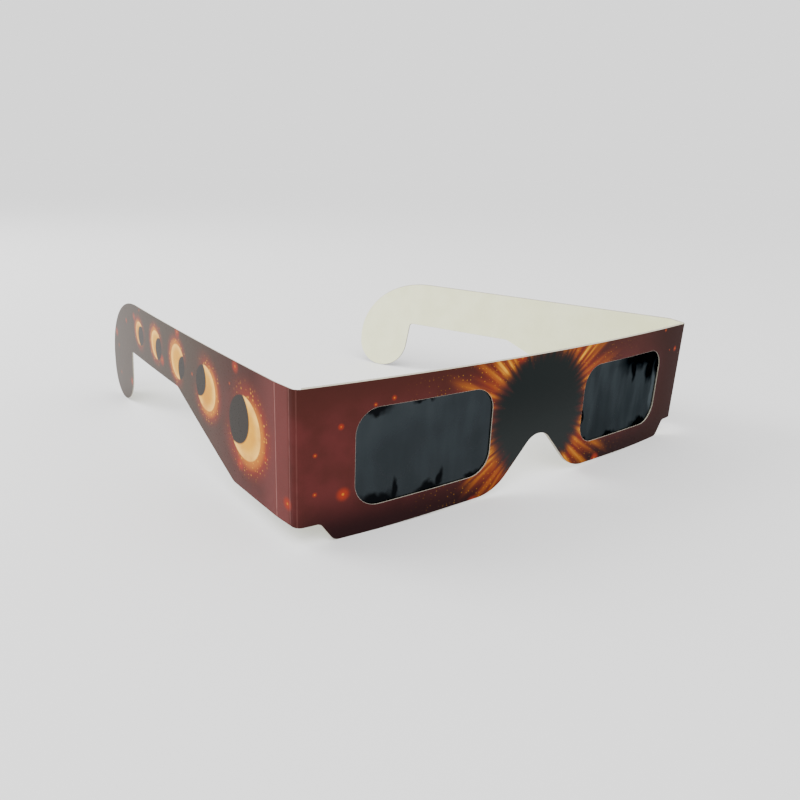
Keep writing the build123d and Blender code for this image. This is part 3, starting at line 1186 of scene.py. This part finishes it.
# Painted highlight: a pale streak of reflection near the outer side of the left window.
painted_glint = use_group(tree, reflection_patch, Place=wavy.outputs[0], Centre=58.0, Level=3.0,
                  Half_width=1.5, Half_height=8.5)
colour = mix(tree, times(tree, painted_glint["Mark"], 0.55), colour, film_streak_and_painted_glint)
# The puckers' dark reflections are painted into the film's colour here.
feed_named(tree, shader, Base_Color=mix(tree, dark, colour, film_dark), Metallic=1,
           Roughness=fade(tree, clouds, 0.3, 0.7, first=0.20, last=0.30),
           Specular_Tint=(0.45, 0.45, 0.45, 1))
print("solar film material has", len(tree.nodes), "nodes")

# %% [markdown]
# Inside its window the film is slack and cockles a little. A Displace modifier with a cloud
# texture could do it, but would also lift the film out of its pocket. Here a fine grid is
# folded to the card, with a gentle wave that only grows away from the window's edges.

# %% Cockled films
cockle_depth = 0.22 * MM
slack_reach = 4 * MM                       # how far inside the window the film is fully slack
film_columns, film_rows = 94, 62
broad_width, broad_height = 17, 11         # millimetres to a broad wave, across and up
small_width, small_height = 7, 9
window_low = Vector((18.6, -8.0)) * MM     # nearer the nose, lower edge
window_high = Vector((59.5, 16.65)) * MM


def cockle(run, height):
    """How far the slack film stands back from its flat place."""
    inside = min(abs(run) - window_low.x, window_high.x - abs(run), height - window_low.y,
                 window_high.y - height)
    slack = smooth_step(min(max(inside / slack_reach, 0), 1))
    broad_wave = mesh_noise.noise(Vector((run / MM / broad_width, height / MM / broad_height, 0.3)))
    small_wave = mesh_noise.noise(Vector((run / MM / small_width, height / MM / small_height, 4.1)))
    return cockle_depth * slack * (0.5 + 0.9 * broad_wave + 0.35 * small_wave)


for side in signs:
    low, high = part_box(f"{side}_filter_film")
    film = flat_grid(f"{side}_window_film", low.x, high.x, low.z, high.z, film_columns, film_rows)
    map_print(film)
    for vertex in film.data.vertices:
        run, height = vertex.co.x, vertex.co.z
        vertex.co = folded_place(run, height, -card_thickness / 2 - cockle(run, height))
    film.data.materials.append(solar_film)
    thicken(film, film_thickness, inside=0, rim=0)
    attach(film, "front_panel")
    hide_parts(f"{side}_filter_film")
    print(film.name, len(film.data.polygons), "faces")

# %% [markdown]
# The inner panel is the same die-cut outline in plain board, glued behind the front. Its
# solid could stay, but the board's pattern follows the map of the blank, and a solid has
# no such map. So it is made as the front is, bowed a film and a card further in, and bare
# on both faces.

# %% Inner panel
rear_radius = bow_radius - (card_thickness + film_thickness)
rear_face_radius = rear_radius + card_thickness / 2
rear_setback = 1.7 * MM   # how far before the outer folds the inner panel ends
inner_panel = copy_of_node("rear_card", "inner_panel")
keep_face(inner_panel, Vector((0, -1, 0)))
for vertex in inner_panel.data.vertices:
    vertex.co = flat_front(vertex.co, rear_face_radius)
border_outline(inner_panel)
rear_end = outer_fold_run - rear_setback
cut_into_columns(inner_panel, -rear_end, rear_end, front_column)
map_print(inner_panel)
for vertex in inner_panel.data.vertices:
    turned = vertex.co.x / bow_radius
    vertex.co = Vector((rear_face_radius * math.sin(turned),
                        bow_radius - rear_face_radius * math.cos(turned), vertex.co.z))
face_with(inner_panel, bare_board, bare_board, cut_edge)
thicken(inner_panel, card_thickness)
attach(inner_panel, "front_panel")
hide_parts("rear_card")
print(inner_panel.name, len(inner_panel.data.polygons), "faces")

# %% [markdown]
# Between the two cards lies the dry glue, which shows only as a thin line at the edges. The
# solid has the right shape for that, so it stays, and just gets a material of its own:
# yellowish where it is thin and paler where it is thick.

# %% Dry glue
glue_thin, glue_thick = ink(188, 180, 158), ink(226, 222, 206)
dry_glue, tree, shader = new_material("dry_glue")
where = put(tree, "ShaderNodeTexCoord").outputs["Object"]
thick_and_thin = noise(tree, where, scale=900, detail=3)   # clouds to the metre here
feed_named(tree, shader, Base_Color=mix(tree, thick_and_thin, glue_thin, glue_thick),
           Roughness=0.55)
glue = frame["nodes"]["glue_layer"]
glue.data.materials.clear()
glue.data.materials.append(dry_glue)
print("dry glue material has", len(tree.nodes), "nodes")

# %% [markdown]
# The glasses stand on a plain pale table, as for a catalogue. A curved backdrop would hide
# the horizon from one side only. A very wide flat table under an even sky hides it from all
# sides, as long as both look equally bright.

# %% Table
table_size = 60          # metres, so that its end can't be seen
table_gap = 0.05 * MM    # keeps the table just clear of the lowest edge
table_grey = 0.68
bpy.ops.mesh.primitive_plane_add(size=table_size, location=(0, 0, cad_low.z - table_gap))
table = bpy.context.object
table.name = "table_top"
table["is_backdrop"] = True
paper, tree, shader = new_material("pale_table")
feed_named(tree, shader, Base_Color=(table_grey, table_grey, table_grey, 1), Roughness=0.9,
           Specular_IOR_Level=0.1)
table.data.materials.append(paper)
print("table top at", round(table.location.z / MM, 2), "mm")

# %% [markdown]
# Studio light is soft, so most of it comes from a white sky all round. A sky alone gives
# hardly any shadow, so a broad lamp is added from above. Too weak, it would leave the table
# darker than the sky, and too strong, brighter. So its strength is worked out, to lift the
# grey table just to the brightness of the sky.

# %% Sky and main lamp
studio_brightness = 1.6
lamp_spread = math.radians(50)
lamp_tilt, lamp_side = math.radians(38), math.radians(-28)
world = bpy.context.scene.world or bpy.data.worlds.new("World")
bpy.context.scene.world = world
world.use_nodes = True
background = world.node_tree.nodes["Background"]
background.inputs["Color"].default_value = (1, 1, 1, 1)
background.inputs["Strength"].default_value = studio_brightness

lamp = bpy.data.lights.new("key", "SUN")
lamp.angle = lamp_spread
lamp.energy = math.pi * studio_brightness * (1 / table_grey - 1) / math.cos(lamp_tilt)
key = bpy.data.objects.new("key", lamp)
bpy.context.scene.collection.objects.link(key)
key.matrix_world = Matrix.Rotation(lamp_side, 4, "Z") @ Matrix.Rotation(lamp_tilt, 4, "X")
print("main lamp", round(lamp.energy, 2), "W/m2")

# %% [markdown]
# Varnish and film show their gloss only when they have something to mirror. A round softbox
# behind one side gives them that. A stronger main lamp would make the table too bright.

# %% Side softbox
softbox_width, softbox_power = 0.5, 8   # metres, watts
softbox_place, softbox_target = Vector((-0.55, 0.60, 0.50)), Vector((0, 0.05, 0))
glow_lamp = bpy.data.lights.new("side_softbox", "AREA")
glow_lamp.shape = "DISK"
glow_lamp.size = softbox_width
glow_lamp.energy = softbox_power
softbox = bpy.data.objects.new("side_softbox", glow_lamp)
bpy.context.scene.collection.objects.link(softbox)
softbox.location = softbox_place
softbox.rotation_euler = (softbox_target - softbox.location).to_track_quat("-Z", "Y").to_euler()
print("softbox", round((softbox_target - softbox.location).length, 2), "m away")

# %% [markdown]
# The camera is close and wide, which gives the strong perspective of the photograph. It
# could be set by eye, but then the sizes of the glasses would seem wrong. Its place, angles
# and lens were fitted to the card's edges in the photograph instead.

# %% Camera
camera_place = Vector((-138.58, -117.46, 68.25)) * MM
camera_heading, camera_tilt, camera_roll = (math.radians(a) for a in (-37.236, 71.255, 2.342))
photo_focal_pixels, photo_width_pixels = 674.26, 800
sensor_width = 36                 # millimetres, a full frame
nearest, farthest = 0.005, 20     # metres that the camera can see
lens = bpy.data.cameras.new("photo_camera")
lens.sensor_width = sensor_width
lens.lens = sensor_width * photo_focal_pixels / photo_width_pixels
lens.clip_start, lens.clip_end = nearest, farthest
camera = bpy.data.objects.new("photo_camera", lens)
bpy.context.scene.collection.objects.link(camera)
camera.matrix_world = (Matrix.Translation(camera_place) @ Matrix.Rotation(camera_heading, 4, "Z")
                       @ Matrix.Rotation(camera_tilt, 4, "X") @ Matrix.Rotation(camera_roll, 4, "Z"))
bpy.context.scene.camera = camera
print("lens", round(lens.lens, 2), "mm")

# %% [markdown]
# New surfaces could make the glasses bigger without anyone seeing it. So the box around all
# pieces is measured once more, and written down beside the box of the imported part.

# %% Measure the sizes again and finish
low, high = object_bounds()
print("visual model from", tuple(low), "to", tuple(high))
